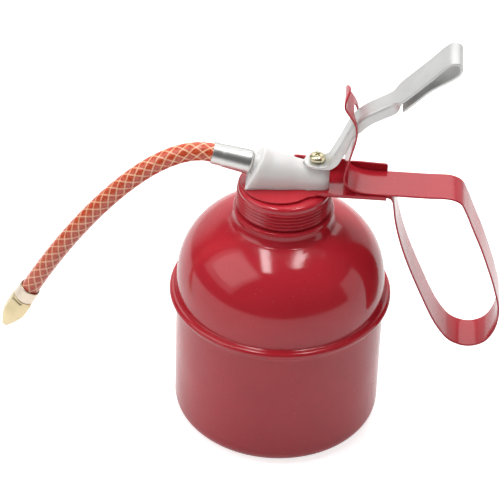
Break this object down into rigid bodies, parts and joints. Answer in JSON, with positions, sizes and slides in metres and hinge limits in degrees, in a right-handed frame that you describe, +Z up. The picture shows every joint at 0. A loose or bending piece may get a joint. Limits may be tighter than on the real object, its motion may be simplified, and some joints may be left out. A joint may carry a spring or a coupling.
{
  "type": "thumb-lever oil can",
  "caption": "Red hand oiler: screw-on pump head with a thumb lever, loop handle and a curved braided hose spout ending in a brass nozzle.",
  "frame": {"origin": "centre of the can's flat base, on the face it stands on", "axes": "+Z up along the can's axis, -X towards the spout, +X towards the handle"},
  "size_m": [0.2173, 0.0958, 0.1879],
  "materials": {
    "red_enamel": "glossy stoved red enamel",
    "zinc_steel": "bright zinc-plated steel",
    "lever_steel": "satin silver-grey stamping",
    "white_nylon": "moulded natural nylon",
    "yellow_zinc": "yellow-passivated zinc / pale brass",
    "black_rubber": "nitrile rubber",
    "orange_hose": "clear-coated orange hose with a pale crossed braid"
  },
  "bodies": {
    "can": {"can_cup": "red_enamel", "can_shoulder": "red_enamel", "neck_collar": "red_enamel"},
    "gasket": {"cap_gasket": "black_rubber"},
    "head": {"screw_cap": "red_enamel", "bracket_plate": "red_enamel", "handle_strap": "red_enamel", "pump_body": "white_nylon", "union_nut": "zinc_steel", "pump_barrel": "zinc_steel", "spring_stop": "zinc_steel", "return_spring": "zinc_steel", "foot_valve_seat": "yellow_zinc", "suction_tube": "white_nylon", "suction_strainer": "yellow_zinc", "outlet_spring": "zinc_steel", "spout_nipple": "yellow_zinc", "hose_ferrule": "zinc_steel", "hose_liner": "white_nylon", "hose_cover": "orange_hose", "tip_collar": "yellow_zinc", "spout_tip": "yellow_zinc"},
    "lever": {"lever": "lever_steel"},
    "plunger": {"plunger_rod": "zinc_steel", "piston": "white_nylon", "piston_cup": "black_rubber", "piston_nut": "zinc_steel", "lever_screw": "yellow_zinc"},
    "foot_ball": {"foot_valve_ball": "zinc_steel"},
    "outlet_ball": {"outlet_ball": "zinc_steel"}
  },
  "joints": [
    {"name": "cap_lift", "type": "slide", "parent": "can", "child": "gasket", "axis": [0, 0, 1], "range_m": [0, 0.0106]},
    {"name": "cap_turn", "type": "hinge", "parent": "gasket", "child": "head", "pos_m": [0, 0, 0.112], "axis": [0, 0, 1], "range_deg": [0, 1260]},
    {"name": "lever_rock", "type": "hinge", "parent": "head", "child": "lever", "pos_m": [0.0286, 0, 0.148], "axis": [0, 1, 0], "range_deg": [0, 14], "stiffness_Nm_per_rad": 0.05, "springref_deg": -11.46, "deforming": ["return_spring"]},
    {"name": "rod_swing", "type": "hinge", "parent": "lever", "child": "plunger", "pos_m": [0.01305, 0, 0.13065], "axis": [0, 1, 0], "range_deg": [-17.5, 0]},
    {"name": "foot_ball_lift", "type": "slide", "parent": "head", "child": "foot_ball", "axis": [0, 0, 1], "range_m": [0, 0.0012]},
    {"name": "outlet_ball_lift", "type": "slide", "parent": "head", "child": "outlet_ball", "axis": [-0.9763, 0, 0.2164], "range_m": [0, 0.0006], "deforming": ["outlet_spring"]}
  ],
  "couplings": [
    {"joint": "cap_lift", "follows": "cap_turn", "m_per_rad": 0.00047746},
    {"joint": "rod_swing", "follows": "lever_rock", "ratio": -1.2364}
  ]
}
